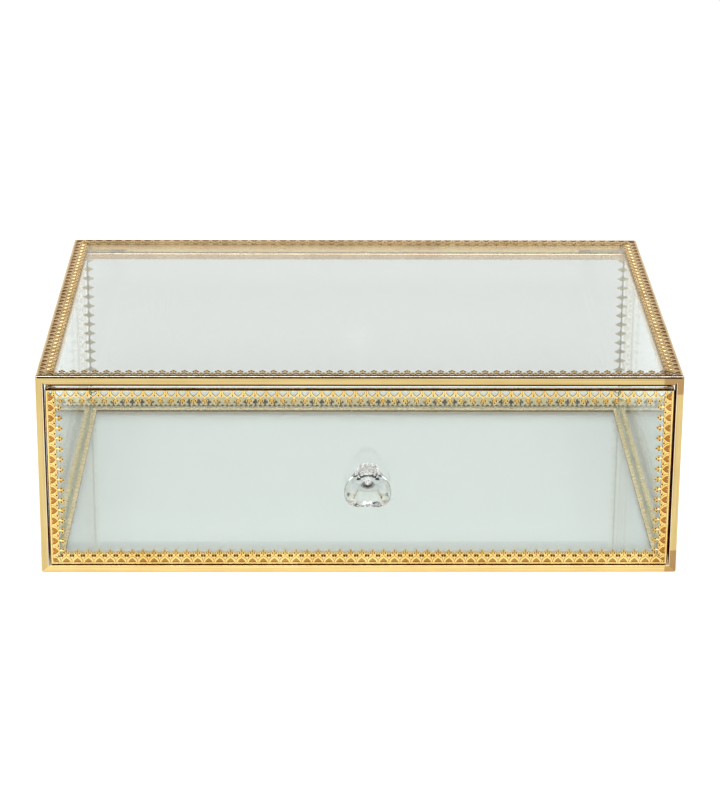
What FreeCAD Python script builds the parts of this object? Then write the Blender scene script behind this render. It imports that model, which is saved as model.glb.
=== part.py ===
import FreeCAD, Part
import math
import os

from FreeCAD import Vector

# Closed box, outside the folded brass and without the knob
box_width = 285.0
box_depth = 200.0
box_height = 94.0

# Sheet brass of every folded strip
sheet = 0.4
fold_radius = 1.2

# Glass panes
case_glass = 2.5
drawer_glass = 2.5

# Lace edging, measured inward from the folded edge
lace_pitch = 4.9
lace_band = 1.25
heart_near = 1.4
heart_point = 3.9
heart_width = 2.9
lace_valley = 4.4
lace_tip = 7.8
finial_neck = 4.75
finial_neck_width = 1.1
finial_shoulder = 6.2
finial_width = 2.5
corner_margin = 0.4

# Distance from a strip's corner to its first heart, where one is set
lead_top_front = 1.6
lead_drawer_top = 1.65
lead_drawer_bottom = 2.4
lead_drawer_left = 1.9
lead_drawer_right = 2.3

# Plain folds of the case
front_face = 3.3
front_face_top = 4.2
channel_lip = 2.8
foot_width = 6.0

# Drawer and the gaps round it
drawer_recess = 0.3
drawer_side_gap = 0.7
drawer_top_gap = 2.0
drawer_bottom_gap = 0.2
drawer_back_gap = 4.1
rim_height = 3.0
floor_flange = 3.0
corner_leg = 4.3

# Crystal knob and its screw
knob_width = 21.0
knob_height = 19.6
knob_length = 17.0
knob_corner_radius = 6.0
knob_corner_facets = 3
knob_offset = 3.5
knob_neck_share = 0.48
knob_table_share = 0.58
knob_girdle_start = 6.0
knob_girdle_end = 10.5
screw_radius = 1.9
screw_clearance = 0.05
pane_hole_radius = 2.6
screw_depth = 8.0
screw_head_radius = 4.0
screw_head_height = 1.8

# Places worked out from the sizes above
knob_reach = knob_length - drawer_recess - sheet
front_y = -(box_depth - knob_reach) / 2
rear_y = front_y + box_depth
left_x = -box_width / 2
right_x = box_width / 2

drawer_half_width = box_width / 2 - front_face - drawer_side_gap
drawer_bottom = front_face + drawer_bottom_gap
drawer_top = box_height - front_face_top - drawer_top_gap
drawer_height = drawer_top - drawer_bottom
drawer_front_y = front_y + drawer_recess
pane_front_y = drawer_front_y + sheet
pane_rear_y = pane_front_y + drawer_glass
drawer_rear_y = rear_y - sheet - case_glass - drawer_back_gap
wall_rear_y = drawer_rear_y - sheet
wall_outer_x = drawer_half_width - sheet
wall_inner_x = wall_outer_x - drawer_glass
floor_channel_height = drawer_glass + 2 * sheet
wall_bottom = drawer_bottom + floor_channel_height
wall_top = drawer_top - sheet
knob_centre_z = (drawer_bottom + drawer_top) / 2

X = Vector(1, 0, 0)
Y = Vector(0, 1, 0)
Z = Vector(0, 0, 1)


def box(low, high):
    """A block between two opposite corners."""
    size = Vector(*high) - Vector(*low)
    return Part.makeBox(size.x, size.y, size.z, Vector(*low))


def solid_from(face, path):
    """A face swept straight along a vector, as one outward-facing solid."""
    solid = face.extrude(path).Solids[0]
    if solid.Volume < 0:
        solid.reverse()
    return solid


def whole(shapes):
    """Pieces that touch, joined into one solid with its flat faces merged."""
    joined = shapes[0].fuse(shapes[1:]) if len(shapes) > 1 else shapes[0]
    return joined.removeSplitter().Solids[0]


def heart_centres(length, lead):
    """Places of the hearts along a strip; without a lead the row is centred."""
    if lead is None:
        count = math.floor(length / lace_pitch)
        lead = (length - count * lace_pitch) / 2 + lace_pitch / 2
    first = lead if lead >= lace_pitch / 2 else lead + lace_pitch
    count = math.floor((length - lace_pitch / 2 - first) / lace_pitch) + 1
    return [first + n * lace_pitch for n in range(count)]


def finial_points(centre):
    """A finial from one side of its neck, round its broad head, to the other side."""
    neck = finial_neck_width / 2
    head = finial_width / 2
    return [
        (centre + neck, finial_neck),
        (centre + head, finial_shoulder),
        (centre, lace_tip),
        (centre - head, finial_shoulder),
        (centre - neck, finial_neck),
    ]


def lace_outline(length, centres, shaped):
    """Corner points of a lace strip: a straight band edge and a row of finials."""
    points = [(0.0, lace_band), (length, lace_band)]
    if shaped:
        points.append((length, finial_neck))
        for centre in reversed(centres):
            points += finial_points(centre)
        points.append((0.0, finial_neck))
    else:
        points.append((length, lace_valley))
        for centre in reversed(centres):
            points.append((centre + lace_pitch / 2, lace_valley))
            points.append((centre, lace_tip))
        points.append((centres[0] - lace_pitch / 2, lace_valley))
        points.append((0.0, lace_valley))
    return points


def heart_outline(centre):
    """A heart-shaped hole, kept to its two lobes near the fold and its point."""
    half = heart_width / 2
    return [(centre + half, heart_near), (centre, heart_point), (centre - half, heart_near)]


def closed_wire(place, points):
    """A closed polygon through points given on the surface of a strip."""
    corners = [place(u, v) for u, v in points]
    distinct = [corners[0]]
    for corner in corners[1:]:
        if corner.distanceToPoint(distinct[-1]) > 1e-6:
            distinct.append(corner)
    return Part.makePolygon(distinct + [distinct[0]])


def lace_leg(place, thickness, length, leg):
    """The lace part of one leg, from the plain band to the tips of its finials."""
    centres = heart_centres(length, leg["lead"])
    wires = [closed_wire(place, lace_outline(length, centres, leg["shaped"]))]
    if leg["pierced"]:
        clear = heart_point + corner_margin
        for centre in centres:
            if clear < centre < length - clear:
                wires.append(closed_wire(place, heart_outline(centre)))
    face = Part.makeFace(wires, "Part::FaceMakerBullseye")
    return solid_from(face, thickness)


def folded_strip(corner, along, to_a, to_b, length, leg_a, leg_b, mitres="ab"):
    """One folded brass strip along an edge of the box.

    Leg A lies on the face that runs inward along to_a, and leg B on the face
    that runs inward along to_b. Each leg is lace, or plain with an optional lip
    that turns back over the edge of the pane. The legs named in mitres have
    both their ends cut at 45 degrees.
    """

    def at(u, a, b):
        return corner + along * u + to_a * a + to_b * b

    def on_leg_a(u, v):
        return at(u, v, 0.0)

    def on_leg_b(u, v):
        return at(u, 0.0, v)

    width_a = leg_a.get("width", lace_band)
    width_b = leg_b.get("width", lace_band)
    lip_a = leg_a.get("lip", sheet)
    lip_b = leg_b.get("lip", sheet)
    profile = [(fold_radius, 0.0), (width_a, 0.0), (width_a, lip_a)]
    if lip_a > sheet:
        profile += [(width_a - sheet, lip_a), (width_a - sheet, sheet)]
    profile += [(sheet, sheet)]
    if lip_b > sheet:
        profile += [(sheet, width_b - sheet), (lip_b, width_b - sheet)]
    profile += [(lip_b, width_b), (0.0, width_b), (0.0, fold_radius)]
    corners = [at(0.0, a, b) for a, b in profile]
    edges = [Part.LineSegment(p, q).toShape() for p, q in zip(corners, corners[1:])]
    bulge = fold_radius * (1 - math.sqrt(0.5))
    edges.append(Part.Arc(corners[-1], at(0.0, bulge, bulge), corners[0]).toShape())
    pieces = [solid_from(Part.Face(Part.Wire(edges)), along * length)]

    if "pierced" in leg_a:
        pieces.append(lace_leg(on_leg_a, to_b * sheet, length, leg_a))
    if "pierced" in leg_b:
        pieces.append(lace_leg(on_leg_b, to_a * sheet, length, leg_b))
    strip = whole(pieces)

    reach = lace_tip + 1.0
    trapezium = [(0.0, 0.0), (length, 0.0), (length - reach, reach), (reach, reach)]
    if "a" in mitres:
        keep = solid_from(Part.Face(closed_wire(on_leg_a, trapezium)), to_b * reach)
        strip = strip.common(keep)
    if "b" in mitres:
        keep = solid_from(Part.Face(closed_wire(on_leg_b, trapezium)), to_a * reach)
        strip = strip.common(keep)
    return whole([strip])


def lace(lead=None, pierced=False, shaped=False):
    """A leg cut as lace: its points alone, pierced by hearts, or with shaped finials."""
    return {"lead": lead, "pierced": pierced, "shaped": shaped}


def plain(width, lip=sheet):
    """A plain leg, with a lip where it turns over the edge of a pane."""
    return {"width": width, "lip": lip}


def case_panes():
    """Five panes of the case; the front stays open for the drawer."""
    inner_left = left_x + sheet + case_glass
    inner_right = right_x - sheet - case_glass
    inner_rear = rear_y - sheet - case_glass
    outer_left = left_x + sheet
    outer_right = right_x - sheet
    outer_front = front_y + sheet
    outer_rear = rear_y - sheet
    floor_top = sheet + case_glass
    lid_bottom = box_height - sheet - case_glass
    lid_top = box_height - sheet
    low = (outer_left, outer_front)
    high = (outer_right, outer_rear)
    return {
        "case_floor_glass": box((*low, sheet), (*high, floor_top)),
        "case_top_glass": box((*low, lid_bottom), (*high, lid_top)),
        "case_left_glass": box((*low, floor_top), (inner_left, outer_rear, lid_bottom)),
        "case_right_glass": box((inner_right, outer_front, floor_top), (*high, lid_bottom)),
        "case_back_glass": box((inner_left, inner_rear, floor_top), (inner_right, outer_rear, lid_bottom)),
    }


def case_strips():
    """Twelve folded strips, one along each edge of the case."""
    front = plain(front_face, channel_lip)
    front_top = plain(front_face_top, channel_lip)
    foot = plain(foot_width)
    low_left = Vector(left_x, front_y, 0)
    low_right = Vector(right_x, front_y, 0)
    high_left = Vector(left_x, front_y, box_height)
    high_right = Vector(right_x, front_y, box_height)
    back = Y * box_depth
    top_lace = lace(pierced=True)
    front_lace = lace(lead_top_front, pierced=True)
    return {
        "front_top_strip": folded_strip(high_left, X, Y, -Z, box_width, front_lace, front_top),
        "front_bottom_strip": folded_strip(low_left, X, Y, Z, box_width, foot, front),
        "front_left_strip": folded_strip(low_left, Z, Y, X, box_height, lace(), front),
        "front_right_strip": folded_strip(low_right, Z, Y, -X, box_height, lace(), front),
        "top_left_strip": folded_strip(high_left, Y, X, -Z, box_depth, top_lace, lace()),
        "top_right_strip": folded_strip(high_right, Y, -X, -Z, box_depth, top_lace, lace()),
        "top_rear_strip": folded_strip(high_left + back, X, -Y, -Z, box_width, top_lace, lace()),
        "rear_left_strip": folded_strip(low_left + back, Z, -Y, X, box_height, lace(), lace()),
        "rear_right_strip": folded_strip(low_right + back, Z, -Y, -X, box_height, lace(), lace()),
        "bottom_left_strip": folded_strip(low_left, Y, X, Z, box_depth, foot, lace()),
        "bottom_right_strip": folded_strip(low_right, Y, -X, Z, box_depth, foot, lace()),
        "bottom_rear_strip": folded_strip(low_left + back, X, -Y, Z, box_width, foot, lace()),
    }


def drawer_panes():
    """Front, floor, two sides and back of the drawer."""
    edge_x = drawer_half_width - sheet
    front = box(
        (-edge_x, pane_front_y, drawer_bottom + sheet),
        (edge_x, pane_rear_y, drawer_top - sheet),
    )
    hole = Part.makeCylinder(
        pane_hole_radius, drawer_glass, Vector(knob_offset, pane_front_y, knob_centre_z), Y
    )
    floor_x = wall_outer_x - sheet
    floor = box(
        (-floor_x, pane_rear_y + sheet, drawer_bottom + sheet),
        (floor_x, wall_rear_y - sheet, drawer_bottom + sheet + drawer_glass),
    )
    side_front_y = pane_rear_y + sheet
    left = box((-wall_outer_x, side_front_y, wall_bottom), (-wall_inner_x, wall_rear_y, wall_top))
    right = box((wall_inner_x, side_front_y, wall_bottom), (wall_outer_x, wall_rear_y, wall_top))
    back = box(
        (-wall_inner_x, wall_rear_y - drawer_glass, wall_bottom),
        (wall_inner_x, wall_rear_y, wall_top),
    )
    return {
        "drawer_front_glass": front.cut(hole),
        "drawer_floor_glass": floor,
        "drawer_left_glass": left,
        "drawer_right_glass": right,
        "drawer_back_glass": back,
    }


def drawer_front_strips():
    """Lace round the drawer's front, each strip folded over the edge of the pane."""
    turn = plain(sheet + drawer_glass)
    low_left = Vector(-drawer_half_width, drawer_front_y, drawer_bottom)
    low_right = Vector(drawer_half_width, drawer_front_y, drawer_bottom)
    high_left = Vector(-drawer_half_width, drawer_front_y, drawer_top)
    width = 2 * drawer_half_width
    height = drawer_height

    def strip(corner, along, inward, length, lead):
        front = lace(lead, pierced=True, shaped=True)
        return folded_strip(corner, along, inward, Y, length, front, turn, mitres="a")

    return {
        "drawer_lace_top": strip(high_left, X, -Z, width, lead_drawer_top),
        "drawer_lace_bottom": strip(low_left, X, Z, width, lead_drawer_bottom),
        "drawer_lace_left": strip(low_left, Z, X, height, lead_drawer_left),
        "drawer_lace_right": strip(low_right, Z, -X, height, lead_drawer_right),
    }


def channel(start, along, length, out, profile, mitred_ends):
    """A straight brass channel along the edge of a pane, from its outer low corner.

    The profile is drawn across the channel: inward from the outer face, and up.
    A mitred end is cut at 45 degrees, to meet the channel round the corner.
    """
    width = max(v for v, w in profile)
    height = max(w for v, w in profile)

    def at(u, v, w):
        return start + along * u + out * v + Z * w

    section = Part.Face(closed_wire(lambda v, w: at(0.0, v, w), profile))
    bar = solid_from(section, along * length)
    start_shift = width if mitred_ends[0] else 0.0
    end_shift = width if mitred_ends[1] else 0.0
    plan = [(0.0, 0.0), (length, 0.0), (length - end_shift, width), (start_shift, width)]
    keep = solid_from(Part.Face(closed_wire(lambda u, v: at(u, v, 0.0), plan)), Z * height)
    return whole([bar.common(keep)])


def floor_channels():
    """Channels that hold the edges of the drawer's floor; the walls stand on them."""
    width = drawer_glass + floor_flange
    height = floor_channel_height
    profile = [
        (0.0, 0.0), (width, 0.0), (width, sheet), (sheet, sheet),
        (sheet, height - sheet), (width, height - sheet), (width, height), (0.0, height),
    ]
    length = wall_rear_y - pane_rear_y
    span = 2 * wall_outer_x
    front_left = Vector(-wall_outer_x, pane_rear_y, drawer_bottom)
    front_right = Vector(wall_outer_x, pane_rear_y, drawer_bottom)
    rear_left = Vector(-wall_outer_x, wall_rear_y, drawer_bottom)
    both = (True, True)
    return {
        "drawer_floor_edge_left": channel(front_left, Y, length, X, profile, both),
        "drawer_floor_edge_right": channel(front_right, Y, length, -X, profile, both),
        "drawer_floor_edge_front": channel(front_left, X, span, Y, profile, both),
        "drawer_floor_edge_back": channel(rear_left, X, span, -Y, profile, both),
    }


def rim_channels():
    """Channels that cap the top edges of the drawer's sides and back."""
    width = drawer_glass + 2 * sheet
    height = rim_height
    profile = [
        (0.0, 0.0), (sheet, 0.0), (sheet, height - sheet), (width - sheet, height - sheet),
        (width - sheet, 0.0), (width, 0.0), (width, height), (0.0, height),
    ]
    front = pane_rear_y + sheet
    length = drawer_rear_y - front
    low = drawer_top - rim_height
    span = 2 * drawer_half_width
    front_left = Vector(-drawer_half_width, front, low)
    front_right = Vector(drawer_half_width, front, low)
    rear_left = Vector(-drawer_half_width, drawer_rear_y, low)
    return {
        "drawer_rim_left": channel(front_left, Y, length, X, profile, (False, True)),
        "drawer_rim_right": channel(front_right, Y, length, -X, profile, (False, True)),
        "drawer_rim_back": channel(rear_left, X, span, -Y, profile, (True, True)),
    }


def rear_corner_strips():
    """Upright strips on the drawer's rear corners, with lace on the back pane."""
    turn = plain(corner_leg)
    height = drawer_top - rim_height - wall_bottom
    left = Vector(-drawer_half_width, drawer_rear_y, wall_bottom)
    right = Vector(drawer_half_width, drawer_rear_y, wall_bottom)
    return {
        "drawer_lace_rear_left": folded_strip(left, Z, X, -Y, height, lace(), turn, ""),
        "drawer_lace_rear_right": folded_strip(right, Z, -X, -Y, height, lace(), turn, ""),
    }


def corner_angles():
    """Upright angles that join the front pane to the front ends of the sides."""
    angles = {}
    for name, side in (("left", -1), ("right", 1)):
        outer = side * drawer_half_width
        inner = side * (drawer_half_width - corner_leg)
        wall = side * wall_outer_x
        behind_pane = box(
            (min(outer, inner), pane_rear_y, wall_bottom),
            (max(outer, inner), pane_rear_y + sheet, drawer_top),
        )
        beside_wall = box(
            (min(outer, wall), pane_rear_y + sheet, wall_bottom),
            (max(outer, wall), pane_rear_y + corner_leg, drawer_top - rim_height),
        )
        angles["drawer_corner_" + name] = whole([behind_pane, beside_wall])
    return angles


def knob_section(share, depth):
    """Corners of a triangle, point up, with faceted round corners, at one depth."""
    radius = knob_corner_radius
    half_base = knob_width / 2 - radius
    low = radius - knob_height / 2
    high = knob_height / 2 - radius
    lean = math.atan2(half_base, high - low)
    corners = [
        (half_base, low, -math.pi / 2, lean),
        (0.0, high, lean, math.pi - lean),
        (-half_base, low, math.pi - lean, 3 * math.pi / 2),
    ]
    points = []
    for x, z, begin, end in corners:
        for step in range(knob_corner_facets + 1):
            angle = begin + (end - begin) * step / knob_corner_facets
            across = share * (x + radius * math.cos(angle))
            up = share * (z + radius * math.sin(angle))
            points.append(Vector(knob_offset + across, pane_front_y - depth, knob_centre_z + up))
    return points


def cut_crystal(sections):
    """A solid with flat facets between sections that have the same corners."""
    faces = [
        Part.Face(Part.makePolygon(section + [section[0]]))
        for section in (sections[0], sections[-1])
    ]
    for lower, upper in zip(sections, sections[1:]):
        for n in range(len(lower)):
            facet = [lower[n - 1], lower[n], upper[n], upper[n - 1], lower[n - 1]]
            faces.append(Part.Face(Part.makePolygon(facet)))
    solid = Part.Solid(Part.Shell(faces))
    if solid.Volume < 0:
        solid.reverse()
    return solid


def knob_pieces():
    """The crystal knob, and the screw that holds it to the pane from inside."""

    def on_axis(y):
        return Vector(knob_offset, y, knob_centre_z)

    crystal = cut_crystal([
        knob_section(knob_neck_share, 0.0),
        knob_section(1.0, knob_girdle_start),
        knob_section(1.0, knob_girdle_end),
        knob_section(knob_table_share, knob_length),
    ])
    hole_radius = screw_radius + screw_clearance
    knob = crystal.cut(Part.makeCylinder(hole_radius, screw_depth, on_axis(pane_front_y), -Y))

    head = Part.makeCylinder(screw_head_radius, screw_head_height, on_axis(pane_rear_y), Y)
    shank_length = drawer_glass + screw_depth - screw_clearance
    shank = Part.makeCylinder(screw_radius, shank_length, on_axis(pane_rear_y), -Y)
    return {"knob": knob, "knob_screw": whole([head, shank])}


def all_pieces():
    """Every piece of the box, by the name of its node."""
    pieces = {}
    for group in (
        case_panes, case_strips, drawer_panes, drawer_front_strips,
        floor_channels, rim_channels, rear_corner_strips, corner_angles, knob_pieces,
    ):
        pieces.update(group())
    return pieces


os.makedirs("parts", exist_ok=True)
for node, shape in all_pieces().items():
    shape.exportStep(os.path.join("parts", node + ".step"))
    print(node, len(shape.Solids), shape.isValid(), round(shape.Volume, 1))
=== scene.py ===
import bpy
import numpy as np
from mathutils import Matrix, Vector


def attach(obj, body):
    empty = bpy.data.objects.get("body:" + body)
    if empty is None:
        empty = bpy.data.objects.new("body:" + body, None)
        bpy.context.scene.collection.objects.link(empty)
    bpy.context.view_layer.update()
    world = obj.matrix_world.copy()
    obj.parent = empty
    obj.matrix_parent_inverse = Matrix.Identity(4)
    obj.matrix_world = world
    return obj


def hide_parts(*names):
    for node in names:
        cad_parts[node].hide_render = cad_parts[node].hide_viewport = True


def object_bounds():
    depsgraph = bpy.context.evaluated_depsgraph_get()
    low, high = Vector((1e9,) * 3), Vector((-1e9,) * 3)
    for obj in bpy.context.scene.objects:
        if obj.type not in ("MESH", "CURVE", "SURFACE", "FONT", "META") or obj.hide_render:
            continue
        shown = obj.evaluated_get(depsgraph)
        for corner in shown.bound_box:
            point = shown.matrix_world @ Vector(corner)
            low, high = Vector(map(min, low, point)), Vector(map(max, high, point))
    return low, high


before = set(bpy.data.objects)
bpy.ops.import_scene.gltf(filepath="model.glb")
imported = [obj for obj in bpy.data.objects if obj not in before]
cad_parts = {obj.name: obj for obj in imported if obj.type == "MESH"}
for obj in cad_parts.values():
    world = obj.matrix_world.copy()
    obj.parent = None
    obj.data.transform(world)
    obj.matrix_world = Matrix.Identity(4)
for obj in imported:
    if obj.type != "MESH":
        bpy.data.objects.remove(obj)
cad_low, cad_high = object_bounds()

# The studio: a pale table, soft light all round with a dim side behind the
# camera, and two wide softboxes, overhead and in front. Polished brass and
# glass show all of it, so the dim side gives the folds their dark lines; on
# the front frame and the drawer's top strip, dark and light lines along the
# folds are painted as well.
MM = 0.001
camera_place = np.array([-14.81, -1207.33, 506.20]) * MM
camera_yaw, camera_pitch, camera_roll = 0.013091, 0.336968, 0.005184
camera_lens = 123.4
camera_shift = -0.0833
white = (1.0, 1.0, 1.0)
table_white = (0.72, 0.72, 0.72)
table_glow, table_glow_through_glass = 0.48, 0.15
dim_side = (0.03, 0.026, 0.022)
high_side = (0.5, 0.5, 0.5)
dim_back = (0.30, 0.29, 0.28)
backdrop = (0.80, 0.80, 0.80)


def camera_axes(yaw, pitch, roll):
    """Right, up and back of a camera that looks along +Y, turned, tipped down and rolled."""
    ahead = np.array([np.sin(yaw) * np.cos(pitch), np.cos(yaw) * np.cos(pitch), -np.sin(pitch)])
    level = np.array([np.cos(yaw), -np.sin(yaw), 0.0])
    upward = np.cross(level, ahead)
    right = np.cos(roll) * level + np.sin(roll) * upward
    up = -np.sin(roll) * level + np.cos(roll) * upward
    return right, up, -ahead


camera = bpy.data.objects.new("camera", bpy.data.cameras.new("camera"))
bpy.context.scene.collection.objects.link(camera)
aim = np.eye(4)
aim[:3, :3] = np.array(camera_axes(camera_yaw, camera_pitch, camera_roll)).T
aim[:3, 3] = camera_place
camera.matrix_world = Matrix(aim.tolist())
camera.data.sensor_width = 36.0
camera.data.lens = camera_lens
camera.data.shift_y = camera_shift
camera.data.clip_start, camera.data.clip_end = 0.05, 50.0
bpy.context.scene.camera = camera
bpy.context.scene.view_settings.view_transform = "Standard"


def empty_material(name):
    """A material with no nodes yet, and its node tree."""
    material = bpy.data.materials.new(name)
    material.use_nodes = True
    tree = material.node_tree
    tree.nodes.clear()
    return material, tree


def node(tree, kind, **settings):
    """A shader node, with its properties and input sockets set by name."""
    made = tree.nodes.new("ShaderNode" + kind)
    for key, value in settings.items():
        if hasattr(made, key):
            setattr(made, key, value)
        else:
            made.inputs[key.replace("_", " ")].default_value = value
    return made


def finished_mesh(name, points, faces, finishes, which=None, laid_out=None):
    """A mesh object at the origin, from an array of points and a list of face corner arrays.

    which gives each face its finish, and laid_out gives each point its place on
    the flat sheet in millimetres, along and across, as the UV map.
    """
    mesh = bpy.data.meshes.new(name)
    loops = np.concatenate([f.ravel() for f in faces]).astype(np.int32)
    sizes = np.concatenate([np.full(len(f), f.shape[1]) for f in faces])
    mesh.vertices.add(len(points))
    mesh.vertices.foreach_set("co", np.asarray(points, dtype=np.float32).ravel())
    mesh.loops.add(len(loops))
    mesh.loops.foreach_set("vertex_index", loops)
    mesh.polygons.add(len(sizes))
    mesh.polygons.foreach_set("loop_start", (np.cumsum(sizes) - sizes).astype(np.int32))
    for finish in finishes:
        mesh.materials.append(finish)
    if which is not None:
        mesh.polygons.foreach_set("material_index", which.astype(np.int32))
    if laid_out is not None:
        layer = mesh.uv_layers.new(name="sheet")
        layer.data.foreach_set("uv", laid_out[loops].astype(np.float32).ravel())
    mesh.update(calc_edges=True)
    mesh.shade_flat()
    made = bpy.data.objects.new(name, mesh)
    bpy.context.scene.collection.objects.link(made)
    return made


# The table's glow is only for the eye and for what metal and glass show; it
# lights nothing.
table_material, tree = empty_material("table")
cloth = node(tree, "BsdfDiffuse", Color=(*table_white, 1.0))
glow = node(tree, "Emission", Color=(*white, 1.0))
ray = node(tree, "LightPath")
level = node(tree, "MapRange")
level.inputs["To Min"].default_value = table_glow
level.inputs["To Max"].default_value = table_glow_through_glass
unlit = node(tree, "MapRange")
unlit.inputs["To Min"].default_value = 1.0
unlit.inputs["To Max"].default_value = 0.0
shine = node(tree, "Math", operation="MULTIPLY")
tree.links.new(ray.outputs["Is Transmission Ray"], level.inputs["Value"])
tree.links.new(ray.outputs["Is Diffuse Ray"], unlit.inputs["Value"])
tree.links.new(level.outputs[0], shine.inputs[0])
tree.links.new(unlit.outputs[0], shine.inputs[1])
tree.links.new(shine.outputs[0], glow.inputs["Strength"])
both = node(tree, "AddShader")
shown = node(tree, "OutputMaterial")
tree.links.new(cloth.outputs[0], both.inputs[0])
tree.links.new(glow.outputs[0], both.inputs[1])
tree.links.new(both.outputs[0], shown.inputs["Surface"])
corners = 5.0 * np.array([[-1, -1, 0], [1, -1, 0], [1, 1, 0], [-1, 1, 0]])
table = finished_mesh("table", corners, [np.array([[0, 1, 2, 3]])], [table_material])

world = bpy.data.worlds.new("studio")
bpy.context.scene.world = world
world.use_nodes = True
tree = world.node_tree
tree.nodes.clear()


def ramp_of_height(stops):
    """A colour ramp over the height of a direction, from -1 straight down to 1 straight up."""
    ramp = node(tree, "ValToRGB")
    rise = node(tree, "MapRange")
    rise.inputs["From Min"].default_value = -1.0
    tree.links.new(split.outputs["Z"], rise.inputs["Value"])
    tree.links.new(rise.outputs[0], ramp.inputs[0])
    marks = ramp.color_ramp.elements
    while len(marks) < len(stops):
        marks.new(1.0)
    for mark, (level, colour) in zip(marks, stops):
        mark.position = (level + 1) / 2
        mark.color = (*colour, 1.0)
    return ramp


towards = node(tree, "TexCoord")
split = node(tree, "SeparateXYZ")
tree.links.new(towards.outputs["Generated"], split.inputs[0])
near_side = ramp_of_height([
    (-0.08, white), (0.0, dim_side), (0.42, dim_side), (0.62, high_side), (0.90, white),
])
far_side = ramp_of_height([
    (-0.05, white), (0.12, backdrop), (0.45, backdrop), (0.58, dim_back), (0.82, dim_back), (0.92, white),
])
side = node(tree, "MapRange", interpolation_type="SMOOTHSTEP")
side.inputs["From Min"].default_value = -0.75
side.inputs["From Max"].default_value = -0.15
mix = node(tree, "MixRGB")
sky = node(tree, "Background")
out = node(tree, "OutputWorld")
for a, b in (
    (split.outputs["Y"], side.inputs["Value"]),
    (side.outputs[0], mix.inputs[0]),
    (near_side.outputs[0], mix.inputs[1]),
    (far_side.outputs[0], mix.inputs[2]),
    (mix.outputs[0], sky.inputs["Color"]),
    (sky.outputs[0], out.inputs["Surface"]),
):
    tree.links.new(a, b)

for name, place, tilt, energy in (
    ("softbox", (0.0, -0.1, 1.3), 0.0, 9.0),
    ("front_box", (0.0, -1.3, 1.35), 0.785, 7.0),
):
    lamp = bpy.data.objects.new(name, bpy.data.lights.new(name, "AREA"))
    lamp.data.shape = "RECTANGLE"
    lamp.data.size, lamp.data.size_y = 1.2, 0.8
    lamp.data.energy = energy
    lamp.location = place
    lamp.rotation_euler = (tilt, 0.0, 0.0)
    bpy.context.scene.collection.objects.link(lamp)


# Panes of the case: five sheets of clear float glass with polished edges,
# faintly green in their thickness, set edge to edge.
def clear_glass(name, tint, bend=1.5):
    """Glass that bends light, lets lamps through, and has faint smears from the polish in its roughness."""
    material, tree = empty_material(name)
    place = node(tree, "TexCoord")
    smear = node(tree, "TexNoise", Scale=9.0, Detail=3.0)
    level = node(tree, "MapRange")
    level.inputs["From Min"].default_value = 0.35
    level.inputs["From Max"].default_value = 0.75
    level.inputs["To Max"].default_value = 0.02
    pane = node(tree, "BsdfPrincipled", Base_Color=(*tint, 1.0), IOR=bend)
    pane.inputs["Transmission Weight"].default_value = 1.0
    through = node(tree, "BsdfTransparent", Color=(*tint, 1.0))
    ray = node(tree, "LightPath")
    mix = node(tree, "MixShader")
    out = node(tree, "OutputMaterial")
    for a, b in (
        (place.outputs["Object"], smear.inputs["Vector"]),
        (smear.outputs["Fac"], level.inputs["Value"]),
        (level.outputs[0], pane.inputs["Roughness"]),
        (ray.outputs["Is Shadow Ray"], mix.inputs[0]),
        (pane.outputs[0], mix.inputs[1]),
        (through.outputs[0], mix.inputs[2]),
        (mix.outputs[0], out.inputs["Surface"]),
    ):
        tree.links.new(a, b)
    return material


def wall_glass(name, tint):
    """Glass for panes seen at a slant: it mirrors by Fresnel and lets the rest of the light straight on."""
    material, tree = empty_material(name)
    place = node(tree, "TexCoord")
    smear = node(tree, "TexNoise", Scale=9.0, Detail=3.0)
    level = node(tree, "MapRange")
    level.inputs["To Max"].default_value = 0.03
    mirror = node(tree, "BsdfGlossy", Color=(*white, 1.0))
    through = node(tree, "BsdfTransparent", Color=(*tint, 1.0))
    slant = node(tree, "Fresnel", IOR=1.5)
    face = node(tree, "NewGeometry")
    only = node(tree, "MixRGB")
    only.inputs[2].default_value = (0.0, 0.0, 0.0, 1.0)
    mix = node(tree, "MixShader")
    out = node(tree, "OutputMaterial")
    for a, b in (
        (place.outputs["Object"], smear.inputs["Vector"]),
        (smear.outputs["Fac"], level.inputs["Value"]),
        (level.outputs[0], mirror.inputs["Roughness"]),
        (face.outputs["Backfacing"], only.inputs[0]),
        (slant.outputs[0], only.inputs[1]),
        (only.outputs[0], mix.inputs[0]),
        (through.outputs[0], mix.inputs[1]),
        (mirror.outputs[0], mix.inputs[2]),
        (mix.outputs[0], out.inputs["Surface"]),
    ):
        tree.links.new(a, b)
    return material


def refinish(name, material):
    """Puts a material on a CAD node's object."""
    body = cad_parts[name]
    if not body.data.materials:
        body.data.materials.append(material)
    for slot in body.material_slots:
        slot.material = material


floor_tint, wall_tint = (0.945, 0.955, 0.950), (0.968, 0.984, 0.972)
case_glass = clear_glass("case_glass", floor_tint)
top_glass = clear_glass("top_glass", (0.928, 0.932, 0.936))
case_walls = wall_glass("case_walls", wall_tint)
for side, glass in (
    ("floor", case_glass), ("top", top_glass), ("left", case_walls), ("right", case_walls),
    ("back", case_walls),
):
    refinish("case_" + side + "_glass", glass)


# Brass edging of the case: twelve strips of thin sheet, folded over the edges
# of the panes. Most legs are stamped and pierced like lace, with a row of
# hearts, small eyelets and pointed finials; the front frame is plain.
sheet = 0.4
pitch = 4.9
band = 1.25
fold_radius = 1.2
width, depth, tall = 285.0, 200.0, 94.0
knob_reach = 16.3
front = cad_low[1] / MM + knob_reach
rear = front + depth
left, right = -width / 2, width / 2
solder_marks = ((0.1330, 0.1342, 0.0852, 0.0856), (0.1372, 0.1374, 0.0108, 0.0106))


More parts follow.
